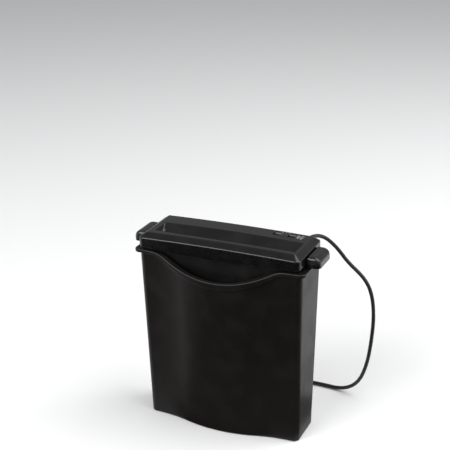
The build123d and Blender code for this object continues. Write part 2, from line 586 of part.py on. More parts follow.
with BuildPart() as motor_end_cap:
    with BuildSketch(Plane.YZ.offset(CAN_HIGH - 3)):
        with Locations((MOTOR_Y, MOTOR_Z)):
            Circle(MOTOR_RADIUS - 1.2)
    extrude(amount=5)
    with BuildSketch(Plane.YZ.offset(CAN_HIGH + 2)):
        with Locations((MOTOR_Y, MOTOR_Z)):
            Circle(5.0)
    extrude(amount=3)
    with BuildSketch(Plane.YZ.offset(CAN_HIGH - 5)):
        with Locations((MOTOR_Y, MOTOR_Z)):
            Circle(MOTOR_SHAFT + RUNNING_CLEARANCE)
    extrude(amount=15, mode=Mode.SUBTRACT)
    with Locations((CAN_HIGH + 4.5, MOTOR_Y, MOTOR_Z + 10), (CAN_HIGH + 4.5, MOTOR_Y, MOTOR_Z - 10)):
        Box(5, 3, 0.8)
save(motor_end_cap, "motor_end_cap")

with BuildPart() as motor_armature:
    with BuildSketch(Plane.YZ.offset(LAYER_3)):
        with Locations((MOTOR_Y, MOTOR_Z)):
            Circle(MOTOR_SHAFT)
    extrude(amount=CAN_HIGH + 4.5 - LAYER_3)
    with BuildSketch(Plane.YZ.offset(CAN_LOW + 10)):
        with Locations((MOTOR_Y, MOTOR_Z)):
            Circle(11.0)
            with PolarLocations(0, 5):
                with Locations((10.5, 0)):
                    Rectangle(5, 1.6, mode=Mode.SUBTRACT)
    extrude(amount=28)
    with BuildSketch(Plane.YZ.offset(CAN_LOW + 41)):
        with Locations((MOTOR_Y, MOTOR_Z)):
            Circle(4.5)
    extrude(amount=9)
save(motor_armature, "motor_armature")

motor_pinion = spur(
    LAYER_3, MOTOR_Y, MOTOR_Z, WHEEL_MODULE, MOTOR_PINION_TEETH,
    TOWARDS_MOTOR + math.pi + math.pi / MOTOR_PINION_TEETH, MOTOR_SHAFT,
)
save(motor_pinion, "motor_pinion")

# =====================================================================================
# Controls and electrics
# =====================================================================================
with BuildPart() as switch_body:
    with Locations((SWITCH_X, SWITCH_Y, 300.8)):
        Box(26, 12, 11)
    with Locations((SWITCH_X, SWITCH_Y, 306.3)):
        Box(18, 4.6, 8, mode=Mode.SUBTRACT)
    with Locations((SWITCH_X, SWITCH_Y, 293.8)):
        with GridLocations(8, 0, 3, 1):
            Box(1, 4, 4)
save(switch_body, "switch_body")

with BuildPart() as switch_knob:
    with Locations((SWITCH_X, SWITCH_Y, 306.4)):
        Box(5, 3.2, 6)
    with Locations((SWITCH_X, SWITCH_Y, 310.8)):
        Box(11, 8, 2.8)
    chamfer(switch_knob.faces().sort_by(Axis.Z)[-1].edges(), 0.6)
    with Locations((SWITCH_X, SWITCH_Y, 312.2)):
        with GridLocations(2.2, 0, 3, 1):
            Box(0.9, 6, 1.2, mode=Mode.SUBTRACT)
save(switch_knob, "switch_knob")

with BuildPart() as paper_lever:
    with BuildSketch(Plane.YZ.offset(LEVER_X - 1.5)):
        with BuildLine():
            Polyline((LEVER_Y + 2.4, LEVER_Z + 2.2), (LEVER_Y - 2.4, LEVER_Z + 0.4), (SLOT_Y + 4, 284.2),
                     (SLOT_Y - 3.2, 285.8), (SLOT_Y - 3.6, 283.6), (SLOT_Y + 4, 282.0),
                     (LEVER_Y + 2.4, LEVER_Z - 2.2), close=True)
        make_face()
    extrude(amount=3)
    with BuildSketch(Plane.YZ.offset(LEVER_X - 8)):
        with Locations((LEVER_Y, LEVER_Z)):
            Circle(1.5)
    extrude(amount=16)
save(paper_lever, "paper_lever")

with BuildPart() as interlock_switch:
    with Locations((INTERLOCK_X, INTERLOCK_Y - 1.2, TUB_HIGH + FLANGE)):
        Box(20, 6.6, 8.5, align=(Align.CENTER, Align.CENTER, Align.MIN))
    with Locations((INTERLOCK_X, INTERLOCK_Y, TUB_HIGH + FLANGE)):
        Cylinder(1.6, 8, align=(Align.CENTER, Align.CENTER, Align.MIN), mode=Mode.SUBTRACT)
    with Locations((INTERLOCK_X, INTERLOCK_Y - 1.2, TUB_HIGH + FLANGE + 8.5)):
        with GridLocations(7, 0, 3, 1):
            Box(0.8, 3, 2.2, align=(Align.CENTER, Align.CENTER, Align.MIN))
save(interlock_switch, "interlock_switch")

with BuildPart() as interlock_plunger:
    with Locations((INTERLOCK_X, INTERLOCK_Y, BIN_HEIGHT)):
        Cylinder(1.5, 13.0, align=(Align.CENTER, Align.CENTER, Align.MIN))
    fillet(interlock_plunger.edges().sort_by(Axis.Z)[0], 0.7)
save(interlock_plunger, "interlock_plunger")

with BuildPart() as circuit_board:
    with Locations(BOARD):
        Box(*BOARD_SIZE, align=(Align.CENTER, Align.CENTER, Align.MIN))
    with Locations(BOARD):
        with GridLocations(BOARD_SIZE[0] - 10, BOARD_SIZE[1] - 8, 2, 2):
            Cylinder(1.3, 10, mode=Mode.SUBTRACT)
save(circuit_board, "circuit_board")

BOARD_TOP = BOARD[2] + BOARD_SIZE[2]
on_board = (Align.CENTER, Align.CENTER, Align.MIN)
with BuildPart() as board_components:
    with Locations((BOARD[0] - 24, BOARD[1], BOARD_TOP)):
        Box(18, 14, 15, align=on_board)  # relay
    with Locations((BOARD[0] - 4, BOARD[1], BOARD_TOP)):
        Cylinder(6.0, 17, align=on_board)  # smoothing capacitor
    with Locations((BOARD[0] + 12, BOARD[1] + 2, BOARD_TOP)):
        Box(10, 5, 9, align=on_board)  # bridge rectifier
    with Locations((BOARD[0] + 26, BOARD[1], BOARD_TOP)):
        Box(8, 16, 10, align=on_board)  # terminal block
save(board_components, "board_components")


# =====================================================================================
# Fasteners: each node is one group of identical screws
# =====================================================================================
def screws(places, axis, head_radius, head, shank_radius, shank):
    """Pan-head screws; places are the head's inner face centres, axis is where the shank points."""
    with BuildPart() as group:
        for place in places:
            seat = Plane(origin=place, z_dir=axis)
            with BuildSketch(seat):
                Circle(shank_radius)
            extrude(amount=shank)
            with BuildSketch(seat):
                Circle(head_radius)
                RectangleRounded(head_radius, 0.8, 0.3, mode=Mode.SUBTRACT)
                RectangleRounded(0.8, head_radius, 0.3, mode=Mode.SUBTRACT)
            extrude(amount=-head)
            with BuildSketch(seat):
                Circle(head_radius * 0.98)
            extrude(amount=-head / 2)
    return group


housing_screws = screws([(x, y, TUB_LOW + 70) for x, y in POSTS], (0, 0, 1), 3.0, 2.2, 1.45, 14)
save(housing_screws, "housing_screws")
feet = [(x, y, TUB_LOW) for x in FOOT_X for y in FOOT_Y]
frame_screws = screws(feet, (0, 0, 1), 3.0, 1.8, 1.5, 13)
save(frame_screws, "frame_screws")
motor_seats = [(LEFT_PLATE, y, MOTOR_Z) for y in MOTOR_SCREW_Y]
motor_screws = screws(motor_seats, (1, 0, 0), 2.4, 1.4, 1.35, 5.5)
save(motor_screws, "motor_screws")
grip_seats = [(side * (HEAD_HALF - HEAD_WALL), y, 296.5) for side in (-1, 1) for y in (3, 16)]
left_seats, right_seats = grip_seats[:2], grip_seats[2:]
with BuildPart() as grip_screws:
    add(screws(left_seats, (-1, 0, 0), 2.6, 1.6, 1.25, 7).part)
    add(screws(right_seats, (1, 0, 0), 2.6, 1.6, 1.25, 7).part)
save(grip_screws, "grip_screws")
board_holes = [
    (BOARD[0] + i * (BOARD_SIZE[0] - 10) / 2, BOARD[1] + j * (BOARD_SIZE[1] - 8) / 2, BOARD[2])
    for i in (-1, 1) for j in (-1, 1)
]
board_screws = screws(board_holes, (0, 0, 1), 2.2, 1.2, 1.05, 8)
save(board_screws, "board_screws")

# =====================================================================================
# Power cord, its strain relief, the coil of spare length and the plug
# =====================================================================================
CORD_EXIT = (CORD_X, HEAD_BACK + BOOT_LENGTH + 0.4, CORD_Z)
CORD_ROUTE = [
    CORD_EXIT,
    (99, 99, 289.5), (112, 117, 284), (130, 127, 264), (146.5, 131, 240.5), (175, 131, 218),
    (188, 130, 194), (193, 129, 157), (190, 131, 112), (183, 136, 66), (168, 143, 25),
    (140, 150, 3.2), (102, 153, 3.2), (68, 152, 3.2), (41, 149, 3.2),
]

with BuildPart() as strain_relief:
    # collar held in the back wall, with a flange inside, and a tapered boot outside
    with BuildSketch(Plane.XZ.offset(-(HEAD_BACK - HEAD_WALL - 2))):
        with Locations((CORD_X, BOOT_Z)):
            Circle(5.3)
    extrude(amount=-2.0)
    with BuildSketch(Plane.XZ.offset(-(HEAD_BACK - HEAD_WALL))):
        with Locations((CORD_X, BOOT_Z)):
            Circle(4.4)
    extrude(amount=-HEAD_WALL)
    for y, z, radius in (
        (HEAD_BACK, BOOT_Z, 6.0),
        (HEAD_BACK + BOOT_LENGTH, CORD_Z, 3.8),
    ):
        with BuildSketch(Plane.XZ.offset(-y)):
            with Locations((CORD_X, z)):
                Circle(radius)
    loft()
save(strain_relief, "strain_relief")

# each arc is as large as its two runs allow
radii = []
for before, corner, after in zip(CORD_ROUTE, CORD_ROUTE[1:], CORD_ROUTE[2:]):
    run_in = Vector(*corner) - Vector(*before)
    run_out = Vector(*after) - Vector(*corner)
    half_turn = math.radians(run_in.get_angle(run_out) / 2)
    radii.append(0.45 * min(run_in.length, run_out.length) / math.tan(half_turn))
print("cord arc radii:", [round(r, 1) for r in radii])

with BuildPart() as power_cord:
    with BuildLine() as route:
        FilletPolyline(*CORD_ROUTE, radius=radii)
    with BuildSketch(Plane(origin=route.line @ 0, z_dir=route.line % 0)):
        Circle(CORD / 2)
    sweep(path=route.line)
save(power_cord, "power_cord")
cord_length = route.wire().length
print("cord tube length:", round(cord_length, 1), "volume:", round(power_cord.part.volume, 1),
      "section x length:", round(math.pi * (CORD / 2) ** 2 * cord_length, 1))

with BuildPart() as cord_coil:
    with BuildSketch(Plane.XZ.offset(-COIL_Y)):
        with Locations((COIL_X + (COIL_INNER + COIL_OUTER) / 2, COIL_HEIGHT / 2)):
            RectangleRounded(COIL_OUTER - COIL_INNER, COIL_HEIGHT, 2.9)
    revolve(axis=Axis((COIL_X, COIL_Y, 0), (0, 0, 1)))
save(cord_coil, "cord_coil")

PLUG_X, PLUG_Y, PLUG_Z = 44.0, 70.5, 7.2
with BuildPart() as power_plug:
    # a flat two-pin plug lying on the floor, its pins pointing along +X
    with BuildSketch(Plane.YZ.offset(PLUG_X)):
        with Locations((PLUG_Y, PLUG_Z)):
            Circle(3.6)
    with BuildSketch(Plane.YZ.offset(PLUG_X + 12)):
        with Locations((PLUG_Y, PLUG_Z)):
            RectangleRounded(15, 12, 5.5)
    loft()
    with BuildSketch(Plane.YZ.offset(PLUG_X + 12)):
        with Locations((PLUG_Y, PLUG_Z)):
            RectangleRounded(15, 12, 5.5)
    with BuildSketch(Plane.YZ.offset(PLUG_X + 36)):
        with Locations((PLUG_Y, PLUG_Z)):
            RectangleRounded(26, 13.4, 6.0)
    loft()
    with BuildSketch(Plane.YZ.offset(PLUG_X + 36)):
        with Locations((PLUG_Y - 9, PLUG_Z), (PLUG_Y + 9, PLUG_Z)):
            Circle(2.0)
    extrude(amount=19)
save(power_plug, "power_plug")
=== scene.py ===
import math
import bmesh
import bpy
import numpy as np
from mathutils import Matrix, Vector


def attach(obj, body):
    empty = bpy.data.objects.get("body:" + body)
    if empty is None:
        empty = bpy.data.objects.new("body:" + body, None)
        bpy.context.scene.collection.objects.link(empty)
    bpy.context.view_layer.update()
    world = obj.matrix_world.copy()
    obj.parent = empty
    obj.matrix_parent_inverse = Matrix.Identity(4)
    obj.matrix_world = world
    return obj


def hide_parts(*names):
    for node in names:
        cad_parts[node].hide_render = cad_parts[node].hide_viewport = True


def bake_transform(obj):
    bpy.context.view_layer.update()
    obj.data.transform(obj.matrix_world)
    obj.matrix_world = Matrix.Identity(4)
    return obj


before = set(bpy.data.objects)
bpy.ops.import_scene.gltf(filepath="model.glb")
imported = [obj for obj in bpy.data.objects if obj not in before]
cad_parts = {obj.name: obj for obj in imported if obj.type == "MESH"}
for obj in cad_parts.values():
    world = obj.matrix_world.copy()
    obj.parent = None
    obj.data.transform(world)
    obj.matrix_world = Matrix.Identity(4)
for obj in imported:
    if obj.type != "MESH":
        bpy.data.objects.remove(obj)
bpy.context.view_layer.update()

# ---- Studio ------------------------------------------------------------------------------
# A pale table top under a broad softbox, with one low at the right and one at the front left,
# which draws a bright line on each edge that faces it. A grey and a black card lie in front
# and at the right, where only gloss sees them, as is done for black plastic on a white table.
turn, rise, tilt = math.radians(23.968), math.radians(21.214), math.radians(-0.653)
camera_place = (0.60756, -1.37429, 0.91119)
towards = Vector((math.sin(turn) * math.cos(rise), -math.cos(turn) * math.cos(rise), math.sin(rise)))
level = Vector((math.cos(turn), math.sin(turn), 0))
upright = level.cross(-towards)
side_axis = math.cos(tilt) * level + math.sin(tilt) * upright
top_axis = -math.sin(tilt) * level + math.cos(tilt) * upright
camera_data = bpy.data.cameras.new("camera")
camera_data.lens = 87.34
camera_data.sensor_width = 36
camera_data.clip_end = 50
camera = bpy.data.objects.new("camera", camera_data)
camera.matrix_world = (Matrix.Translation(camera_place)
                       @ Matrix((side_axis, top_axis, towards)).transposed().to_4x4())
bpy.context.scene.collection.objects.link(camera)
bpy.context.scene.camera = camera
bpy.context.scene.view_settings.view_transform = "Standard"

sky = bpy.data.worlds.new("studio")
sky.use_nodes = True
sky.node_tree.nodes["Background"].inputs["Color"].default_value = (0.97, 0.98, 1.0, 1)
sky.node_tree.nodes["Background"].inputs["Strength"].default_value = 0.36
bpy.context.scene.world = sky


def softbox(name, place, aim, size, glow):
    """A square light at place, facing aim; glow is its brightness per area, seen from the front."""
    data = bpy.data.lights.new(name, "AREA")
    data.shape = "SQUARE"
    data.size = size
    data.energy = glow * math.pi * size ** 2
    lamp = bpy.data.objects.new(name, data)
    lamp.location = place
    lamp.rotation_euler = (Vector(aim) - Vector(place)).to_track_quat("-Z", "Y").to_euler()
    lamp.visible_camera = False
    bpy.context.scene.collection.objects.link(lamp)

softbox("overhead", (1.5, 0.3, 2.4), (0, 0, 0), 2.6, 3.0)
softbox("right", (2.2, 1.2, 1.0), (0, 0, 0.1), 1.4, 1.6)
softbox("front_left", (-1.3, -2.5, 1.9), (0, 0, 0.1), 2.4, 5.0)


def board(name, corners, colour):
    """A flat stage piece through the given corners, matt, in one colour."""
    mesh = bpy.data.meshes.new(name)
    mesh.from_pydata(corners, [], [tuple(range(len(corners)))])
    matt = bpy.data.materials.new(name)
    matt.use_nodes = True
    sockets = matt.node_tree.nodes["Principled BSDF"].inputs
    sockets["Base Color"].default_value = (*colour, 1)
    sockets["Roughness"].default_value = 0.9
    sockets["Specular IOR Level"].default_value = 0.1
    mesh.materials.append(matt)
    piece = bpy.data.objects.new(name, mesh)
    bpy.context.scene.collection.objects.link(piece)
    return piece


table_z, card_z = -0.0004, 0.0006
table_corners = [(-9, -9), (9, -9), (9, 9), (-9, 9)]
near_corners = [(-0.085, -0.034), (-0.31, -0.2), (0.135, -0.2), (2.2, -0.2), (2.2, 0.11), (0.135, 0.11),
                (0.135, -0.034)]
far_corners = [(-0.31, -0.2), (-1.3, -0.92), (-0.9, -2.4), (2.2, -2.4), (2.2, -0.2)]
board("table", [(x, y, table_z) for x, y in table_corners], (0.9, 0.9, 0.9))
cards = [board("grey_card", [(x, y, card_z) for x, y in near_corners], (0.14, 0.14, 0.14)),
         board("black_card", [(x, y, card_z) for x, y in far_corners], (0.02, 0.02, 0.02))]
for card in cards:
    card.visible_camera = False
    card.visible_diffuse = False
    card.visible_shadow = False

# ---- Power cord --------------------------------------------------------------------------
# A round PVC mains lead, 6 mm thick. It leaves the boot in the back of the head, hangs down
# behind the bin and ends on the floor in a neat coil of two layers, which holds the length
# that isn't in use. Black extruded jacket, slightly glossy.


class Shade:
    """A socket of a material's nodes. Arithmetic on it adds Math nodes, node() adds any other."""

    def __init__(self, tree, socket):
        self.tree, self.socket = tree, socket

    def node(self, kind, settings, sockets, out=0):
        """A node of that kind: its settings come first, then the values or links of its sockets."""
        made = self.tree.nodes.new("ShaderNode" + kind)
        for key, value in settings.items():
            setattr(made, key, value)
        for key, value in sockets.items():
            if isinstance(value, Shade):
                value.feed(made.inputs[key])
            else:
                made.inputs[key].default_value = value
        return Shade(self.tree, made.outputs[out])

    def feed(self, socket):
        """Links this value into an input socket."""
        self.tree.links.new(self.socket, socket)

    def math(self, operation, *values):
        """A Math node of that operation on the values."""
        return self.node("Math", {"operation": operation}, dict(enumerate(values)))

    def __add__(self, other):
        return self.math("ADD", self, other)

    def __mul__(self, other):
        return self.math("MULTIPLY", self, other)

    def __sub__(self, other):
        return self.math("SUBTRACT", self, other)

    def __rsub__(self, other):
        return self.math("SUBTRACT", other, self)

    __radd__ = __add__
    __rmul__ = __mul__


def finish_of(name, **same):
    """A new material, its Principled inputs and its place socket; same holds the sockets that are
    alike all over, with _ for a space in their names."""
    made = bpy.data.materials.new(name)
    made.use_nodes = True
    tree = made.node_tree
    inputs = tree.nodes["Principled BSDF"].inputs
    for key, value in same.items():
        inputs[key.replace("_", " ")].default_value = value
    place = Shade(tree, tree.nodes.new("ShaderNodeTexCoord").outputs["Object"])
    return made, inputs, place


def mottle(place, size, detail=2.0):
    """Noise from 0 to 1 with blotches about size metres across."""
    return place.node("TexNoise", {}, {"Vector": place, "Scale": 1 / size, "Detail": detail})


def spread(value, low, high):
    """Stretches the middle of a noise so that it runs from 0 at low to 1 at high."""
    return value.node("MapRange", {"interpolation_type": "SMOOTHSTEP"},
                      {"Value": value, "From Min": low, "From Max": high})


def blend_colours(amount, one, other):
    """one where amount is 0, other where it is 1."""
    return amount.node("Mix", {"data_type": "RGBA"}, {0: amount, 6: one, 7: other}, 2)


def moulded(name, colour, dust_and_highlight, gloss, grain, relief, shine=0.5):
    """Injection-moulded plastic: a spark-eroded grain of grain metres and relief metres deep, faint
    flow marks and handling smudges in the gloss, dust in the colour, and edges rubbed smoother and
    paler; the paler edges are partly real wear and partly a painted highlight line along each
    rounded edge."""
    made, inputs, place = finish_of(name, Specular_IOR_Level=shine)
    smudge = spread(mottle(place, 0.035, 4.0), 0.42, 0.68)
    flow = mottle(place.node("Mapping", {}, {"Vector": place, "Scale": (1.0, 1.0, 0.12)}), 0.03)
    speck = spread(mottle(place, 0.0016, 1.0), 0.66, 0.74)
    # the edge attribute carries the edge wear and the painted edge highlight
    rubbed_and_highlight = place.node("Attribute", {"attribute_name": "edge"}, {}, "Fac")
    rough = gloss + 0.07 * smudge + 0.06 * flow - 0.10 * rubbed_and_highlight + 0.12 * speck
    rough.feed(inputs["Roughness"])
    # edge rows are tinted 0.7 of the way to the pale dust colour: a painted highlight line along each rounded
    # edge, with some real wear
    tint = blend_colours(speck * 0.10 + smudge * 0.05 + rubbed_and_highlight * 0.7, (*colour, 1), (*dust_and_highlight, 1))
    tint.feed(inputs["Base Color"])
    height = mottle(place, grain, 2.0) * (1 - 0.7 * rubbed_and_highlight) + 1.2 * mottle(place, 0.02, 1.0)
    bumps = place.node("Bump", {}, {"Strength": 0.5, "Distance": relief, "Height": height})
    bumps.feed(inputs["Normal"])
    return made


def surface(name, sheets, material, body, slot, *nodes):
    """One mesh object out of sheets, each (points in millimetres, corners of its quads, edge wear
    and painted edge highlight from 0 to 1); doubles are merged. It rides on body, if given, and
    stands for the CAD nodes."""
    starts = np.cumsum([0] + [len(points) for points, quads, wear_and_highlight in sheets])
    mesh = bpy.data.meshes.new(name)
    mesh.from_pydata(np.concatenate([s[0] for s in sheets]) * 0.001, [],
                     np.concatenate([s[1] + start for s, start in zip(sheets, starts)]))
    worn_and_highlight = mesh.attributes.new("edge", "FLOAT", "POINT")
    worn_and_highlight.data.foreach_set("value", np.concatenate([s[2] for s in sheets]))
    joined = bmesh.new()
    joined.from_mesh(mesh)
    bmesh.ops.remove_doubles(joined, verts=joined.verts, dist=2e-6)
    bmesh.ops.dissolve_degenerate(joined, edges=joined.edges, dist=1e-7)
    joined.to_mesh(mesh)
    joined.free()
    mesh.shade_smooth()
    mesh.materials.append(material)
    piece = bpy.data.objects.new(name, mesh)
    bpy.context.scene.collection.objects.link(piece)
    if body:
        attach(piece, body)
    if nodes:
        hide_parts(*nodes)
    return piece


def lattice(grid, wear_and_highlight=0.0, wrap=True, flip=False):
    """A sheet from a grid of points (rows x columns x 3): a quad joins each two rows and columns,
    and with wrap the last column joins the first. The edge wear and painted edge highlight is one
    value or one per row, and flip turns the faces round."""
    rows, columns = grid.shape[:2]
    number = np.arange(rows * columns).reshape(rows, columns)
    if wrap:
        number = np.concatenate([number, number[:, :1]], 1)
    quads = np.stack([number[:-1, :-1], number[:-1, 1:], number[1:, 1:], number[1:, :-1]], -1)
    quads = quads.reshape(-1, 4)
    if flip:
        quads = quads[:, ::-1]
    worn_and_highlight = np.repeat(np.broadcast_to(np.asarray(wear_and_highlight, float), rows), columns)
    return grid.reshape(-1, 3), quads, worn_and_highlight


def tube(path, radii, sides):
    """A tube along path (points x 3), closed at both ends: each ring is a circle of that point's
    radius, square to the path, with its start towards a fixed direction that the path never takes."""
    ahead = np.gradient(path, axis=0)
    ahead /= np.linalg.norm(ahead, axis=1, keepdims=True)
    across = np.cross(ahead, (0.5, 0.5, 0.7))
    across /= np.linalg.norm(across, axis=1, keepdims=True)
    other = np.cross(ahead, across)
    angle = np.linspace(0, 2 * math.pi, sides, endpoint=False)[None, :, None]
    rings = path[:, None] + np.broadcast_to(radii, len(path))[:, None, None] * (
        np.cos(angle) * across[:, None] + np.sin(angle) * other[:, None])
    ends = [np.repeat(rings[i].mean(0)[None, None], sides, 1) for i in (0, -1)]
    return np.concatenate([ends[0], rings, ends[1]])


cord_radius, floor_z = 3.0, 3.2
cord_exit = (100, 76.15, 292)
hanging = [
    cord_exit, (99, 99, 289.5), (112, 117, 284), (130, 127, 264), (146.5, 131, 240.5), (175, 131, 218),
    (188, 130, 194), (193, 129, 157), (190, 131, 112), (183, 136, 66), (168, 143, 25),
    (140, 150, floor_z), (102, 153, floor_z), (68, 152, floor_z), (41, 149, floor_z),
]
coil_x, coil_y, coil_inner, coil_pitch, layer = 20.0, 109.0, 28.3, 6.15, 6.1
turns = np.arange(0, 5.51, 1 / 16)
# the lower layer winds inwards, holds its last turn, climbs, and the upper layer winds outwards
coil_radius = coil_inner + coil_pitch * (np.maximum(0, 2 - turns) + np.clip(turns - 3, 0, 2))
climb = np.clip((turns - 2.6) / 0.4, 0, 1)
coil_angle = 2 * math.pi * (turns + 0.25)
coil = np.stack([coil_x + coil_radius * np.cos(coil_angle), coil_y + coil_radius * np.sin(coil_angle),
                 floor_z + layer * climb ** 2 * (3 - 2 * climb)], 1)
to_plug = [(33, 68.9, 8.6), (40, 70.2, 7.4), (48, 70.5, 7.2)]
route_points = np.concatenate([hanging, coil, to_plug])
route_data = bpy.data.curves.new("cord_route", "CURVE")
route_data.dimensions = "3D"
route_data.resolution_u = 4
spline = route_data.splines.new("NURBS")
spline.points.add(len(route_points) - 1)
spline.points.foreach_set("co", np.c_[route_points * 0.001, np.ones(len(route_points))].ravel())
spline.order_u = 3
spline.use_endpoint_u = True
route = bpy.data.objects.new("cord_route", route_data)
bpy.context.scene.collection.objects.link(route)
centre_line = bpy.data.meshes.new_from_object(route)
cord_path = np.empty(len(centre_line.vertices) * 3)
centre_line.vertices.foreach_get("co", cord_path)
cord_path = cord_path.reshape(-1, 3)
bpy.data.objects.remove(route)
jacket = moulded("cord_jacket", (0.010, 0.010, 0.010), (0.05, 0.05, 0.05), 0.38, 0.0005, 0.00002)
jacket_sheet = lattice(tube(cord_path * 1000, cord_radius, 14))
cord = surface("power_lead", [jacket_sheet], jacket, None, "cord_jacket", "power_cord", "cord_coil")
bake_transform(cord)

# ---- Plug --------------------------------------------------------------------------------
# A two-pin mains plug moulded onto the lead, in the same black PVC, with finger ribs on its
# waist. The pins are nickel-plated brass with a rounded tip.
plug_tail, plug_y, plug_z = 44.0, 70.5, 7.2
stations = np.array([0, 0.4, 6, 12, 14, 15, 16, 17, 18, 19, 20, 21, 22, 24, 30, 34.5, 35.6, 36.0])
half_wide = np.array([3.4, 3.7, 5.4, 7.3, 7.9, 8.2, 8.3, 8.8, 8.8, 9.6, 9.6, 10.2, 10.4, 11.1, 12.6, 12.95,
                      12.6, 11.6])
half_high = np.array([3.4, 3.7, 4.9, 5.9, 6.1, 5.7, 5.7, 6.2, 5.8, 5.8, 6.3, 5.9, 6.35, 6.45, 6.6, 6.65,
                      6.3, 5.4])


def oval_body(along, wide, high, squareness, centre, sides=40):
    """Closed body along X: each cross-section is a superellipse of those half widths and heights."""
    angle = np.linspace(0, 2 * math.pi, sides, endpoint=False)
    power = 2 / squareness
    ring_y = np.sign(np.cos(angle)) * np.abs(np.cos(angle)) ** power
    ring_z = np.sign(np.sin(angle)) * np.abs(np.sin(angle)) ** power
    wide = np.concatenate([[0], wide, [0]])[:, None]
    high = np.concatenate([[0], high, [0]])[:, None]
    along = np.concatenate([along[:1], along, along[-1:]])[:, None] + 0 * angle
    return np.stack([centre[0] + along, centre[1] + wide * ring_y, centre[2] + high * ring_z], -1)


plug_sheets = [lattice(oval_body(stations, half_wide, half_high, 3.0, (plug_tail, plug_y, plug_z)))]
plug = surface("plug_body", plug_sheets, jacket, "bin", "cord_jacket", "power_plug")
pin_apart, pin_from = 9, plug_tail + 36
pin_places = np.array([0, 0.2, 18.0, 18.6, 18.9, 19.0])
pin_radii = np.array([1.9, 2.0, 2.0, 1.7, 1.1, 0.4])
plated, plated_in, place = finish_of("pin_nickel", Metallic=1.0)
scratch = mottle(place.node("Mapping", {}, {"Vector": place, "Scale": (0.05, 1, 1)}), 0.0003)
blend_colours(scratch, (0.60, 0.57, 0.52, 1), (0.72, 0.70, 0.66, 1)).feed(plated_in["Base Color"])
(0.2 + 0.15 * scratch).feed(plated_in["Roughness"])
pin_sheets = [lattice(oval_body(pin_places, pin_radii, pin_radii, 2.0, (pin_from, y, plug_z), 20))
              for y in (plug_y - pin_apart, plug_y + pin_apart)]
pins = surface("plug_pins", pin_sheets, plated, "bin", "cord_jacket")

# ---- Strain relief -----------------------------------------------------------------------
# A tapered rubber boot pressed into the back wall of the head. Its slots let it bend with the
# lead. Softer and more matt than the lead itself.
boot_y = np.array([51.4, 51.4, 53.2, 53.25, 55.7, 55.75, 57.0, 57.4, 58.6, 58.8, 60.2, 60.4, 61.8, 62.0, 63.4,
                   63.6, 65.0, 65.2, 66.6, 66.8, 68.2, 68.4, 69.8, 70.0, 74.6, 75.4, 75.7, 75.7])
boot_radius = np.array([3.0, 5.2, 5.2, 4.35, 4.35, 6.0, 6.0, 5.8, 5.7, 4.6, 4.6, 5.5, 5.35, 4.5, 4.5,
                        5.1, 5.0, 4.35, 4.35, 4.75, 4.65, 4.2, 4.2, 4.4, 3.95, 3.8, 3.5, 3.05])
boot_from, boot_long, boot_x, boot_z, boot_sag = 55.75, 20.0, 100.0, 297.5, 5.5
along_boot = np.clip((boot_y - boot_from) / boot_long, 0, 1)
boot_line = np.stack([0 * boot_y + boot_x, boot_y, boot_z - boot_sag * along_boot], 1)
angle = np.linspace(0, 2 * math.pi, 36, endpoint=False)
boot_rings = boot_line[:, None] + boot_radius[:, None, None] * np.stack(
    [np.cos(angle), 0 * angle, np.sin(angle)], 1)
boot_rings = np.concatenate([boot_rings[:1].mean(1, keepdims=True) + 0 * boot_rings[:1], boot_rings,
                             boot_rings[-1:].mean(1, keepdims=True) + 0 * boot_rings[-1:]])
rubber = moulded("boot_rubber", (0.012, 0.012, 0.012), (0.06, 0.06, 0.06), 0.55, 0.0004, 0.00003)
surface("cord_boot", [lattice(boot_rings, flip=True)], rubber, "head", "cord_jacket", "strain_relief")

# ---- Waste bin ---------------------------------------------------------------------------
# One black polypropylene moulding, about 2 mm thick, that tapers to its foot. The front wall
# bulges forward, its rim dips in the middle, and a rolled lip runs round the rim. The mould's
# fine grain leaves it satin.
bin_rim, lip_depth = 285.0, 5.0
# at the floor, and what the height of the rim adds: half width, front wall, back wall
base_half, half_grows = 124.6, 5.6
base_front, front_grows = -25.95, -10.6
base_back, back_grows = 43.15, 8.4
bin_corner, bin_bulge, bin_middle = 9.0, 16.0, 8.0
dip_low, dip_radius, dip_ease = 256.5, 162.0, 35.0
dip_lip_low, dip_lip_radius = 246.5, 144.5


def eased_dip(x, rim, low, radius, ease):
    """Height of a rim that dips to low along a circle of that radius, with an arc of radius ease
    where it turns level."""
    middle = low + radius
    start = math.sqrt((radius + ease) ** 2 - (middle - rim + ease) ** 2)
    touch = start * radius / (radius + ease)
    away = np.abs(x)
    bowl = middle - np.sqrt(np.maximum(radius ** 2 - np.minimum(away, touch) ** 2, 0))
    turn_off = rim - ease + np.sqrt(np.maximum(ease ** 2 - np.minimum(away - start, 0) ** 2, 0))
    return np.where(away < touch, bowl, np.where(away < start, turn_off, rim))


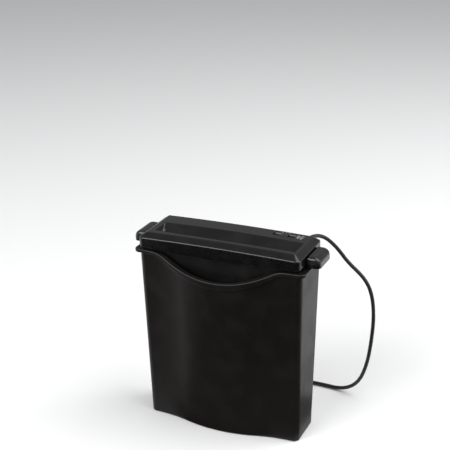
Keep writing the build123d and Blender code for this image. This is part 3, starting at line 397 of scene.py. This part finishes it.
def bin_outline(height, side, ends):
    """x, y round the bin at each height (rows x 1), moved out by side in X and ends in Y: three
    arcs for the bulging front, quarter circles at the corners, straight sides and back."""
    t = height / bin_rim
    half = base_half + half_grows * t + side
    front, back = base_front + front_grows * t - ends, base_back + back_grows * t + ends
    corner, bulge = bin_corner, bin_bulge
    flat = half - corner
    x = np.linspace(-1, 1, 129)[None] * flat
    bend = ((flat / 2) ** 2 + (bulge / 2) ** 2) / bulge
    inner = front - bulge + bend - np.sqrt(bend ** 2 - np.minimum(np.abs(x), flat / 2) ** 2)
    outer = front - bend + np.sqrt(bend ** 2 - np.minimum(flat - np.abs(x), flat / 2) ** 2)
    y = np.where(np.abs(x) < flat / 2, inner, outer)
    quarter = np.linspace(0, math.pi / 2, 10)[None, 1:-1]
    run = np.linspace(0, 1, 21)[None]
    long_run = np.linspace(-1, 1, 61)[None]
    one = np.ones_like(run)
    out, across = corner * np.sin(quarter), corner * np.cos(quarter)
    xs = [x, flat + out, half * one, flat + across, -long_run * flat, -flat - out, -half * one,
          -flat - across]
    up_side = front + corner + (back - front - 2 * corner) * run
    ys = [y, front + corner - across, up_side, back - corner + out, back + 0 * long_run,
          back - corner + across, up_side[:, ::-1], front + corner - out]
    return np.concatenate([v + 0 * flat for v in xs], 1), np.concatenate([v + 0 * flat for v in ys], 1)


# rows of the bin's section: out from the wall at the ends, out at the front, share of the rim's
# height, share of the lip's lower edge, height added, scale about the middle, wear and painted highlight
bin_rows = np.array(
    [(-2, -2, 0, 0, 2.5, s, 0) for s in (0.0, 0.5, 0.9, 0.97)]
    + [(-4.2, -4.2, 0, 0, 2.5, 1, 0), (-3.4, -3.4, 0, 0, 2.6, 1, 0), (-2.5, -2.5, 0, 0, 3.3, 1, 0),
       (-2.05, -2.05, 0, 0, 4.4, 1, 0), (-2, -2, 0, 0, 6, 1, 0)]
    + [(-2, -2, 0, 0, h, 1, 0) for h in (40, 90, 140, 190, 230)]
    + [(-2, -2, 1, 0, -8, 1, 0), (-2, -2, 1, 0, -1.4, 1, 0), (-1.9, -1.9, 1, 0, -0.7, 1, 0.6),
       (-1.5, -1.5, 1, 0, -0.15, 1, 1), (-0.9, -0.9, 1, 0, 0, 1, 0.5), (0.5, 0.3, 1, 0, 0, 1, 0),
       (4.9, 3.4, 1, 0, 0, 1, 0), (5.7, 4.2, 1, 0, -0.1, 1, 0.6), (6.2, 4.7, 1, 0, -0.45, 1, 1),
       (6.45, 4.95, 1, 0, -0.95, 1, 0.6), (6.5, 5, 1, 0, -1.6, 1, 0),
       (6.5, 5, 0, 1, 1.0, 1, 0), (6.45, 4.95, 0, 1, 0.5, 1, 0.5), (6.2, 4.7, 0, 1, 0.12, 1, 1),
       (5.7, 4.2, 0, 1, 0, 1, 0.4), (5.0, 3.5, 0, 1, 0, 1, 0), (0.9, 0.8, 0, 1, 0, 1, 0),
       (0.3, 0.25, 0, 1, -0.15, 1, 0), (0.03, 0.03, 0, 1, -0.6, 1, 0), (0, 0, 0, 1, -1.4, 1, 0),
       (0, 0, 0, 1, -8, 1, 0)]
    + [(0, 0, 0, 0, h, 1, 0) for h in (225, 190, 150, 110, 70, 40, 20, 8, 3)]
    + [(0, 0, 0, 0, 2.0, 1, 0.3), (-0.25, -0.25, 0, 0, 1.1, 1, 1), (-1.0, -1.0, 0, 0, 0.3, 1, 1),
       (-1.7, -1.7, 0, 0, 0, 1, 0.6), (-3, -3, 0, 0, 0, 1, 0)]
    + [(-3, -3, 0, 0, 0, s, 0) for s in (0.96, 0.85, 0.5, 0.0)])
out_side, out_ends, on_rim, on_lip, added, scale, wear_and_highlight = (bin_rows[:, i:i + 1] for i in range(7))
rough_x = bin_outline(np.array([[275.0]]), 0, 0)
level_x, at_front = rough_x[0], rough_x[1] < 0
rim_height = np.where(at_front, eased_dip(level_x, bin_rim, dip_low, dip_radius, dip_ease), bin_rim)
lip_low = bin_rim - lip_depth
lip_height = np.where(at_front, eased_dip(level_x, lip_low, dip_lip_low, dip_lip_radius, dip_ease), lip_low)
bin_z = on_rim * rim_height + on_lip * lip_height + added
# the outline is worked out at each point's own height, one column of heights at a time
nominal = on_rim * bin_rim + on_lip * lip_low + added
base_x, base_y = bin_outline(nominal, out_side, out_ends)
drop = (bin_z - nominal) / bin_rim
end_of_walls = 121
bin_x = base_x + half_grows * drop * np.clip(base_x / end_of_walls, -1, 1)
bin_y = base_y + np.where(base_y < 0, front_grows, back_grows) * drop
bin_grid = np.stack([bin_x * scale, bin_middle + (bin_y - bin_middle) * scale, bin_z], -1)
bin_plastic = moulded("bin_plastic", (0.005, 0.0038, 0.0034), (0.03, 0.0282, 0.0275), 0.33, 0.0006,
                      0.00003, 0.24)
surface("bin", [lattice(bin_grid, wear_and_highlight[:, 0])], bin_plastic, "bin", "bin_plastic", "waste_bin")

# ---- Upper housing -----------------------------------------------------------------------
# The cover of the cutting head, black ABS moulded in one shell 2.5 mm thick: a crowned top
# with a broad bevel, a feed funnel that narrows to the slot, and a recess for the switch.
# Posts inside take the screws from below.
head_half, head_front, head_back = 128.8, -40.75, 55.75
head_low, head_crown, head_end = 289.6, 312.6, 310.7
bevel_in, bevel_down, shell = 10.5, 6.9, 2.5
slot_x, slot_half, slot_front, slot_back, funnel_low = 3.0, 110.5, -4.35, 0.85, 301.5
# how far the funnel's front, back and end walls run out over its depth
funnel_depth, run_front, run_back, run_end = 13.1, 23.4, 17.15, 2.5
switch_x, switch_y = 78.0, 33.0
# half sizes of the switch's recess and of the opening in its floor, for the knob
recess_wide, recess_deep, recess_z, knob_wide, knob_deep = 17.0, 5.5, 309.2, 8, 2.0
grid_inset = 11.5
crown_bend = (head_half ** 2 + (head_crown - head_end) ** 2) / (2 * (head_crown - head_end))


def crown_at(x):
    """Height of the crowned top: one large arc from end to end."""
    return head_crown - crown_bend + np.sqrt(crown_bend ** 2 - x ** 2)


def mouth(x):
    """y of the feed funnel's front and back edges, where its sloping walls meet the crown."""
    rise_to = (crown_at(x) - funnel_low) / funnel_depth
    return slot_front - run_front * rise_to, slot_back + run_back * rise_to


# lines of the top and underside: close together where a wall starts or an edge is rounded
mouth_end = slot_half + run_end * (crown_at(114.0) - funnel_low) / funnel_depth
right_end = slot_x + mouth_end + np.array([-1.2, -0.6, -0.2, 0.2, 0.6, 1.2])
left_end = slot_x - mouth_end + np.array([-6, -2, -1.2, -0.6, -0.2, 0.2, 0.6, 1.2])
recess_x = switch_x + np.array([-19, -17.3, -17, -16.7, -16.3, -8.6, -8, 8, 8.6, 16.3, 16.7, 17, 17.3, 19])
plain_x = np.concatenate([np.linspace(-(head_half - grid_inset), -113.5, 4), np.linspace(-100, 66, 27),
                          [109.5, head_half - grid_inset]])
lines_x = np.unique(np.round(np.concatenate(
    [plain_x, left_end[left_end > -116.9], right_end[right_end < 117.0], recess_x,
     slot_x + np.array([-112.5, -slot_half, slot_half, 112.5])]), 4))
front_edge, back_edge = mouth(lines_x)
front_line, back_line = head_front + grid_inset, head_back - grid_inset
about_edge = (-2.0, -1.1, -0.5, 0, 0.5, 1.1, 2.0)
by_slot = (-14, -6.5, -6.35, -4.6, slot_front, slot_back, 1.1, 2.85, 3.0, 7)
by_recess = (25.5, 27.2, 27.5, 27.8, 28.2, 30.6, 31.0, 35.0, 35.4, 37.8, 38.2, 38.5, 38.8, 40.5)
lines_y = np.stack([front_line + 0 * lines_x] + [front_edge + s for s in about_edge]
                   + [v + 0 * lines_x for v in by_slot] + [back_edge + s for s in about_edge]
                   + [v + 0 * lines_x for v in by_recess] + [back_line + 0 * lines_x])
top_x = np.broadcast_to(lines_x, lines_y.shape)
far_x = np.abs(top_x - slot_x)
crown = crown_at(top_x)


def soft_lower(one, other, ease):
    """The lower of two heights, with a rounded edge about ease wide where they cross."""
    gap = np.clip(0.5 + (other - one) / (2 * ease), 0, 1)
    return other + (one - other) * gap - ease * gap * (1 - gap)


def funnel_height(low, front, back, half, depth):
    """The funnel's sloping front, back and end walls, above low."""
    return low + depth * np.maximum(np.maximum((front - lines_y) / run_front, (lines_y - back) / run_back),
                                    np.maximum((far_x - half) / run_end, 0))


into_switch = np.maximum(np.abs(top_x - switch_x) - recess_wide, np.abs(lines_y - switch_y) - recess_deep)
recess_floor = recess_z + 2.4 * np.clip((into_switch + 0.35) / 0.5, 0, 40)
top_z = soft_lower(crown, funnel_height(funnel_low, slot_front, slot_back, slot_half, funnel_depth), 0.5)
top_z = np.minimum(top_z, recess_floor)
inset = np.minimum(head_half - np.abs(top_x), np.minimum(lines_y - head_front, head_back - lines_y))
under_z = np.minimum(crown - shell - bevel_down / bevel_in * np.maximum(bevel_in + shell - inset, 0),
                     funnel_height(funnel_low - 1.2, slot_front - 2, slot_back + 2, slot_half + 2,
                                   funnel_depth + 1.2))
in_throat = (far_x < slot_half + 1.99) & (lines_y > slot_front - 2.01) & (lines_y < slot_back + 2.01)
throat_low, recess_under = 288.0, 306.3
under_z = np.where(in_throat, throat_low, under_z)
under_switch = np.maximum(np.abs(top_x - switch_x) - recess_wide - shell,
                          np.abs(lines_y - switch_y) - recess_deep - 1.5)
under_z = np.where(under_switch < 0, recess_under, under_z)
middle_x = (lines_x[1:] + lines_x[:-1])[None] / 2 + 0 * lines_y[1:, 1:]
middle_y = (lines_y[1:, 1:] + lines_y[:-1, :-1]) / 2
feed_gap = (np.abs(middle_x - slot_x) < slot_half) & (middle_y > slot_front) & (middle_y < slot_back)
switch_gap = (np.abs(middle_x - switch_x) < knob_wide) & (np.abs(middle_y - switch_y) < knob_deep)
top = np.stack([top_x, lines_y, top_z], -1)
under = np.stack([top_x, lines_y, under_z], -1)


def solid_part(gap, flip, grid):
    """A sheet from a grid without the quads in gap."""
    points, quads, worn_and_highlight = lattice(grid, wrap=False, flip=flip)
    return points, quads[~gap.ravel()], worn_and_highlight


def gap_walls(gap):
    """The walls of an opening through both grids: a ring round the gap's corner points, top to
    bottom."""
    rows, columns = np.nonzero(gap)
    r0, r1, c0, c1 = rows.min(), rows.max() + 1, columns.min(), columns.max() + 1
    along, down = c1 - c0, r1 - r0
    ring_r = np.concatenate([np.full(along, r0), np.arange(r0, r1),
                             np.full(along, r1), np.arange(r1, r0, -1)])
    ring_c = np.concatenate([np.arange(c0, c1), np.full(down, c1),
                             np.arange(c1, c0, -1), np.full(down, c0)])
    return lattice(np.stack([top[ring_r, ring_c], under[ring_r, ring_c]]), flip=True)


# rows round the outside: inset, drop below the crown, corner radius, height above the low edge
# (-1 where the drop counts), edge wear and painted edge highlight
skirt_rows = np.array([
    (11.5, 0, 0, -1, 0), (11.0, 0, 0.5, -1, 0.1), (10.75, 0.05, 1.0, -1, 0.6), (10.3, 0.20, 1.6, -1, 1),
    (9.8, 0.46, 2.2, -1, 0.6), (9.2, 0.85, 2.8, -1, 0.1), (5.0, 3.61, 5.4, -1, 0), (1.5, 5.91, 7.2, -1, 0),
    (0.9, 6.31, 7.5, -1, 0.6), (0.42, 6.72, 7.8, -1, 1), (0.12, 7.25, 8.0, -1, 1), (0.0, 7.9, 8.0, -1, 0.5),
    (0, 8.8, 8.0, -1, 0), (0, 0, 8.0, 6.0, 0), (0, 0, 8.0, 1.0, 0), (0.05, 0, 8.0, 0.5, 0.5),
    (0.2, 0, 7.8, 0.15, 1), (0.55, 0, 7.5, 0, 0.5), (1.9, 0, 6.1, 0, 0), (2.5, 0, 5.5, 0.4, 0),
    (2.5, 10.4, 5.5, -1, 0), (2.5, 9.4, 5.5, -1, 0), (6.0, 7.1, 3.0, -1, 0), (11.5, 3.485, 0, -1, 0)])
inset_in, drop_in, corner_in, lift_in, skirt_wear_and_highlight = (skirt_rows[:, i:i + 1] for i in range(5))
share_x = lines_x[None] / lines_x[-1]
end_y = [(lines_y[:, i][None] - front_line) / (back_line - front_line) for i in (0, -1)]
quarter = np.linspace(0, math.pi / 2, 9)[None, 1:-1]
flat_x = head_half - inset_in - corner_in
flat_y = head_back - head_front - 2 * inset_in - 2 * corner_in
low_y, high_y = head_front + inset_in + corner_in, head_back - inset_in - corner_in
left_y, right_y = low_y + flat_y * end_y[0], low_y + flat_y * end_y[1]
out, across = corner_in * np.sin(quarter), corner_in * np.cos(quarter)
skirt_x = np.concatenate(
    [share_x * flat_x, flat_x + out, flat_x + corner_in + 0 * right_y, flat_x + across,
     share_x[:, ::-1] * flat_x, -flat_x - out, -flat_x - corner_in + 0 * left_y, -flat_x - across], 1)
skirt_y = np.concatenate(
    [low_y - corner_in + 0 * share_x, low_y - across, right_y, high_y + out,
     high_y + corner_in + 0 * share_x, high_y + across, left_y[:, ::-1], low_y - out], 1)
apron_drop, apron_half = 3.8, 119.8
apron = apron_drop * np.maximum(0, 1 - (skirt_x / apron_half) ** 2)
apron = apron * (skirt_y < head_front + 5) * (lift_in >= 0)
skirt_z = np.where(lift_in < 0, crown_at(skirt_x) - drop_in, head_low - apron + lift_in)
skirt = np.stack([skirt_x, skirt_y, skirt_z], -1)


def post(x, y, low, high, outer, bore, sides=28):
    """A round post with a blind bore from below: one profile turned about an upright axis."""
    profile = np.array([(0, high), (outer, high), (outer, low + 0.3), (outer - 0.3, low), (bore + 0.2, low),
                        (bore, low + 0.2), (bore, low + 11), (0, low + 11)])
    spin = np.linspace(0, 2 * math.pi, sides, endpoint=False)[None]
    return lattice(np.stack([x + profile[:, :1] * np.cos(spin), y + profile[:, :1] * np.sin(spin),
                             profile[:, 1:] + 0 * spin], -1), flip=True)


def block(low, high, edge=0.4):
    """A block between two corners with bevelled edges: rings of a chamfered rectangle, closed top
    and bottom."""
    low, high = np.array(low, float), np.array(high, float)
    rise_by = np.array([0, 0, edge, high[2] - low[2] - edge, high[2] - low[2], high[2] - low[2]])
    pull = np.array([1e3, edge, 0, 0, edge, 1e3])[:, None]
    half_x, half_y = (high[0] - low[0]) / 2, (high[1] - low[1]) / 2
    cut = edge * (pull < 100)
    wide, deep = np.maximum(half_x - pull, 0), np.maximum(half_y - pull, 0)
    ring_x = np.concatenate([-wide + cut, wide - cut, wide, wide, wide - cut, -wide + cut, -wide, -wide], 1)
    ring_y = np.concatenate([-deep, -deep, -deep + cut, deep - cut, deep, deep, deep - cut, -deep + cut], 1)
    return lattice(np.stack([(low[0] + high[0]) / 2 + ring_x, (low[1] + high[1]) / 2 + ring_y,
                             low[2] + rise_by[:, None] + 0 * ring_x], -1))


cover_posts = [(-118.5, -26), (-118.5, 39), (57.5, 40.5), (109.5, 38.5)]
board_posts = [(7 + 40 * i, 33 + 7 * j) for i in (-1, 1) for j in (-1, 1)]
housing_sheets = [
    solid_part(feed_gap | switch_gap, False, top), solid_part(feed_gap | switch_gap, True, under),
    gap_walls(feed_gap), gap_walls(switch_gap), lattice(skirt, skirt_wear_and_highlight[:, 0], flip=True)]
housing_sheets += [post(x, y, 291.6, 308.5, 3.5, 1.5) for x, y in cover_posts]
housing_sheets += [post(x, y, 285.6, 309.5, 2.5, 1.1) for x, y in board_posts]
# the bracket that carries the paper lever's pivot
housing_sheets += [block((-5, 2.6, 290), (11, 14, 294)), block((-5, 8, 284), (-2.5, 13, 292)),
                   block((8.5, 8, 284), (11, 13, 292))]
housing_plastic = moulded("housing_plastic", (0.0016, 0.0012, 0.0011), (0.022, 0.0208, 0.0203), 0.22,
                          0.0005, 0.00002)
surface("head_cover", housing_sheets, housing_plastic, "head", "housing_plastic", "upper_housing")

# ---- Switch and its marks ----------------------------------------------------------------
# A three-position slide switch. Its cap is a slightly greyer plastic than the housing, and the
# marks beside the recess are pad-printed in light grey: bars, a ring and an open ring, with three ticks.
knob_plastic = moulded("knob_plastic", (0.02, 0.02, 0.021), (0.08, 0.08, 0.08), 0.3, 0.0003, 0.00001)
ink_over = 0.06


def printed(shape):
    """Prints a strip just above the crown: shape is two curves of as many points (x, y), and the
    strip lies between them."""
    both = np.stack(shape)
    heights = crown_at(both[..., 0])[..., None]
    return lattice(np.concatenate([both, heights + ink_over], -1), wrap=False)


def round_mark(x, y, inner, outer, start=0.0, stop=2 * math.pi):
    """A ring or an arc of a ring between two radii."""
    sweep = np.linspace(start, stop, 33)
    circle = np.stack([np.cos(sweep), np.sin(sweep)], 1)
    return printed([(x, y) + inner * circle, (x, y) + outer * circle])


def bar_mark(x, y, wide, deep):
    """A plain bar centred on x, y."""
    return printed([np.array([(x - wide / 2, y - deep / 2), (x + wide / 2, y - deep / 2)]),
                    np.array([(x - wide / 2, y + deep / 2), (x + wide / 2, y + deep / 2)])])


inner_x, outer_x, tick_y = 100, 106, 40.4
marks = [round_mark(inner_x, switch_y, 1.5, 2.3), bar_mark(outer_x, switch_y, 5.0, 1.0),
         bar_mark(inner_x, 28.3, 4.4, 1.0), round_mark(outer_x, 28.3, 1.2, 2.0, 0.7, 5.6),
         bar_mark(inner_x, 37.4, 4.4, 0.9), bar_mark(outer_x, 37.4, 5.0, 0.9)]
marks += [bar_mark(switch_x + step, tick_y, 0.7, 2.2) for step in (-5, 0, 5)]
ink, ink_in, place = finish_of("mark_ink", Specular_IOR_Level=0.3)
thin = mottle(place, 0.0004)
blend_colours(thin, (0.42, 0.42, 0.42, 1), (0.6, 0.6, 0.59, 1)).feed(ink_in["Base Color"])
(0.45 + 0.2 * thin).feed(ink_in["Roughness"])
surface("switch_marks", marks, ink, "head", "knob_plastic")

# ---- Side grips --------------------------------------------------------------------------
# Two hollow caps, one screwed to each end of the cover, to lift the head by. The outer top
# edge is well rounded for the fingers, the ends' less, and a rib below rests on the bin's lip.
grip_near, grip_far, grip_front, grip_back = 129.0, 150.0, -12.75, 36.0
grip_low, grip_high, grip_wall, grip_round, end_round = 285.4, 302.0, 2.5, 10.5, 5.5
grip_middle, end_from = (grip_front + grip_back) / 2, grip_round - end_round
grip_levels = np.array([
    # height, pull-in of the outer face, pull-in of the other faces, scale to the middle, wear and painted
    # highlight
    (295.5, 2.5, 2.5, 0.0, 0), (295.5, 2.5, 2.5, 0.9, 0), (295.4, 2.5, 2.5, 1, 0), (286.0, 2.5, 2.5, 1, 0),
    (grip_low, 2.2, 2.2, 1, 0.3), (grip_low, 0.7, 0.7, 1, 0.3), (285.55, 0.2, 0.2, 1, 1),
    (286.0, 0, 0, 1, 0.5), (287.0, 0, 0, 1, 0), (290.9, 0, 0, 1, 0.1)]
    + [(grip_high - grip_round + grip_round * math.sin(a), grip_round - grip_round * math.cos(a),
        end_round - math.sqrt(end_round ** 2 - max(0, grip_round * math.sin(a) - end_from) ** 2), 1, 0.6)
       for a in np.radians([0, 7, 14, 21, 28, 35, 42, 49, 56, 63, 69, 75, 81, 86])]
    + [(grip_high, 10.8, 5.4, 1, 0.3), (grip_high, 11.4, 6.2, 1, 0), (grip_high, 11.4, 6.2, 0.8, 0),
       (grip_high, 11.4, 6.2, 0.0, 0)])


def grip_cap(side):
    """The cap's section rings, from the hollow's ceiling down, round the lower edge and up over the
    rounded top: rounded rectangles whose outer face is pulled in along the fillet."""
    z, outer, other, shrink, worn_and_highlight = (grip_levels[:, i:i + 1] for i in range(5))
    near, far = grip_near + np.minimum(other, grip_wall), grip_far - outer
    front, back = grip_front + other, grip_back - other
    big = np.maximum(6.5 - 0.3 * np.minimum(outer, 11), 1.2)
    small = 0.7
    bend = np.linspace(0, math.pi / 2, 8)[None]
    along = np.linspace(0, 1, 14)[None, 1:-1]
    sine, cosine = np.sin(bend), np.cos(bend)
    outward = (far - near - small - big) * along
    x = np.concatenate([near + small - small * cosine, near + small + outward, far - big + big * sine,
                        far + 0 * along, far - big + big * cosine, far - big - outward,
                        near + small - small * sine, near + 0 * along], 1)
    y = np.concatenate([front + small - small * sine, front + 0 * along, front + big - big * cosine,
                        front + big + (back - front - 2 * big) * along, back - big + big * sine,
                        back + 0 * along, back - small + small * cosine,
                        back - small - (back - front - 2 * small) * along], 1)
    middle_of_x = (near + far) / 2
    grid = np.stack([side * (middle_of_x + (x - middle_of_x) * shrink),
                     grip_middle + (y - grip_middle) * shrink, z + 0 * x], -1)
    return lattice(grid, worn_and_highlight[:, 0], flip=side < 0)


rib_near, rib_far, rib_half = 129.8, 135.8, 17
for side, name, node in ((-1, "grip_left", "left_grip"), (1, "grip_right", "right_grip")):
    rib_x = sorted((side * rib_near, side * rib_far))
    rib = block((rib_x[0], grip_middle - rib_half, 285.05), (rib_x[1], grip_middle + rib_half, 296), 0.3)
    surface(name, [grip_cap(side), rib], housing_plastic, "head", "housing_plastic", node)

# ---- Inside the head ---------------------------------------------------------------------
# The cutting unit and its drive: hardened rollers in a frame of plated sheet steel, acetal
# gears, a small motor and a circuit board. The shapes are right as they are, so each only
# takes its finish.


def metal(name, colour, tarnish, gloss, streak, size):
    """Worked metal: fine tool marks of size metres, drawn out along streak, and patches of tarnish
    or oil that change its colour and gloss."""
    made, inputs, place = finish_of(name, Metallic=1.0)
    marks_of_tool = mottle(place.node("Mapping", {}, {"Vector": place, "Scale": streak}), size, 3.0)
    patch = spread(mottle(place, 0.012, 3.0), 0.4, 0.7)
    tint = blend_colours(patch * 0.7 + marks_of_tool * 0.3, (*colour, 1), (*tarnish, 1))
    tint.feed(inputs["Base Color"])
    (gloss + 0.16 * patch + 0.12 * marks_of_tool).feed(inputs["Roughness"])
    bumps = place.node("Bump", {}, {"Strength": 0.4, "Distance": 0.00002, "Height": marks_of_tool})
    bumps.feed(inputs["Normal"])
    return made


plate_finish = metal("zinc_plate", (0.62, 0.63, 0.64), (0.45, 0.45, 0.46), 0.32, (1, 1, 1), 0.004)
cutter_finish = metal("cutter_steel", (0.42, 0.41, 0.40), (0.22, 0.20, 0.18), 0.26, (1, 0.15, 0.15), 0.0004)
screw_finish = metal("screw_steel", (0.55, 0.54, 0.50), (0.33, 0.31, 0.28), 0.3, (1, 1, 0.2), 0.0005)
brass_finish = metal("bush_bronze", (0.55, 0.38, 0.17), (0.33, 0.22, 0.11), 0.3, (1, 0.2, 0.2), 0.0004)
core_finish = metal("motor_core", (0.36, 0.34, 0.33), (0.40, 0.20, 0.09), 0.38, (0.1, 1, 1), 0.0006)
acetal = moulded("gear_acetal", (0.62, 0.60, 0.54), (0.42, 0.38, 0.30), 0.38, 0.0005, 0.00001)
comb_nylon = moulded("comb_nylon", (0.035, 0.035, 0.037), (0.12, 0.11, 0.10), 0.42, 0.0005, 0.00002)
part_plastic = moulded("part_plastic", (0.03, 0.035, 0.05), (0.10, 0.10, 0.10), 0.36, 0.0004, 0.00001)
tub_plastic = moulded("tub_plastic", (0.004, 0.0035, 0.0034), (0.05, 0.05, 0.05), 0.34, 0.0005, 0.00002, 0.42)

laminate, laminate_in, place = finish_of("board_laminate")
weave = place.node("TexWave", {"wave_type": "BANDS", "bands_direction": "DIAGONAL"},
                   {"Vector": place, "Scale": 900.0, "Distortion": 0.4})
tracks = place.node("TexVoronoi", {"feature": "DISTANCE_TO_EDGE", "distance": "MANHATTAN"},
                    {"Vector": place, "Scale": 160.0})
copper_under = spread(tracks, 0.10, 0.13)
base = blend_colours(weave * 0.4, (0.16, 0.10, 0.035, 1), (0.22, 0.15, 0.06, 1))
blend_colours(copper_under, (0.02, 0.10, 0.035, 1), base).feed(laminate_in["Base Color"])
(0.35 + 0.2 * copper_under).feed(laminate_in["Roughness"])

finishes = {
    "lower_housing": tub_plastic, "switch_knob": knob_plastic, "switch_body": part_plastic,
    "interlock_switch": part_plastic, "interlock_plunger": acetal, "paper_lever": acetal,
    "left_side_plate": plate_finish, "right_side_plate": plate_finish, "tie_rods": plate_finish,
    "shaft_bushes": brass_finish, "front_cutter": cutter_finish, "rear_cutter": cutter_finish,
    "front_comb": comb_nylon, "rear_comb": comb_nylon, "front_cutter_gear": acetal,
    "rear_cutter_gear": acetal, "drive_gear": acetal, "idler_gear": acetal,
    "idler_pin": screw_finish, "motor_pinion": brass_finish,
    "motor_can": plate_finish, "motor_end_cap": part_plastic, "motor_armature": core_finish,
    "housing_screws": screw_finish, "frame_screws": screw_finish, "motor_screws": screw_finish,
    "grip_screws": screw_finish, "board_screws": screw_finish, "circuit_board": laminate,
    "board_components": part_plastic,
}
for node, finish in finishes.items():
    for material_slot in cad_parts[node].material_slots:
        material_slot.material = finish
